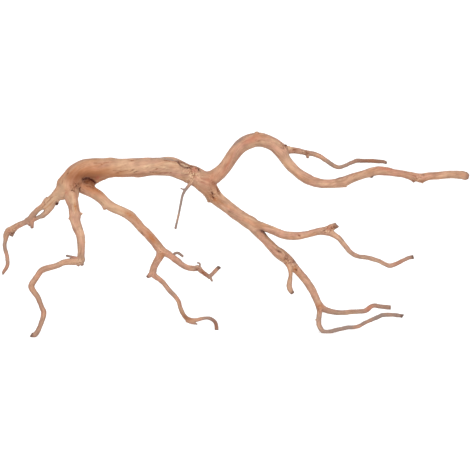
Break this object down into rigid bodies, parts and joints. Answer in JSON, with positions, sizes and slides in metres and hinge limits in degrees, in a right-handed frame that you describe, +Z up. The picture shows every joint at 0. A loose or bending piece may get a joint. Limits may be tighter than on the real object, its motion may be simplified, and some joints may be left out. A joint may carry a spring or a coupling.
{
  "type": "bogwood",
  "caption": "Peeled, forked bogwood root that stands on its own tips, with an arched branch, a long arm and trailing twigs, to decorate an aquarium or terrarium.",
  "frame": {"origin": "middle of the piece's box, on the ground that it stands on", "axes": "+X from the left root's tip towards the long arm's cut end, +Y away from the viewer who sees the piece as in the picture, +Z up"},
  "size_m": [0.585, 0.1155, 0.2519],
  "materials": {
    "bogwood": "peeled root wood, sand-blown and dry: pale salmon tan with orange and rosy patches, darker in knots, pits and broken ends, greyer on the thin twigs, matt with a faint silky sheen"
  },
  "bodies": {
    "root": {"trunk": "bogwood", "left_root": "bogwood", "front_leg": "bogwood", "long_root": "bogwood", "back_leg": "bogwood", "hooked_twig": "bogwood", "hanging_twig": "bogwood", "arched_branch": "bogwood", "upper_twig": "bogwood", "long_arm": "bogwood", "lower_branch": "bogwood", "side_branch": "bogwood", "drooping_branch": "bogwood", "low_twig": "bogwood", "right_leg": "bogwood"}
  },
  "joints": []
}
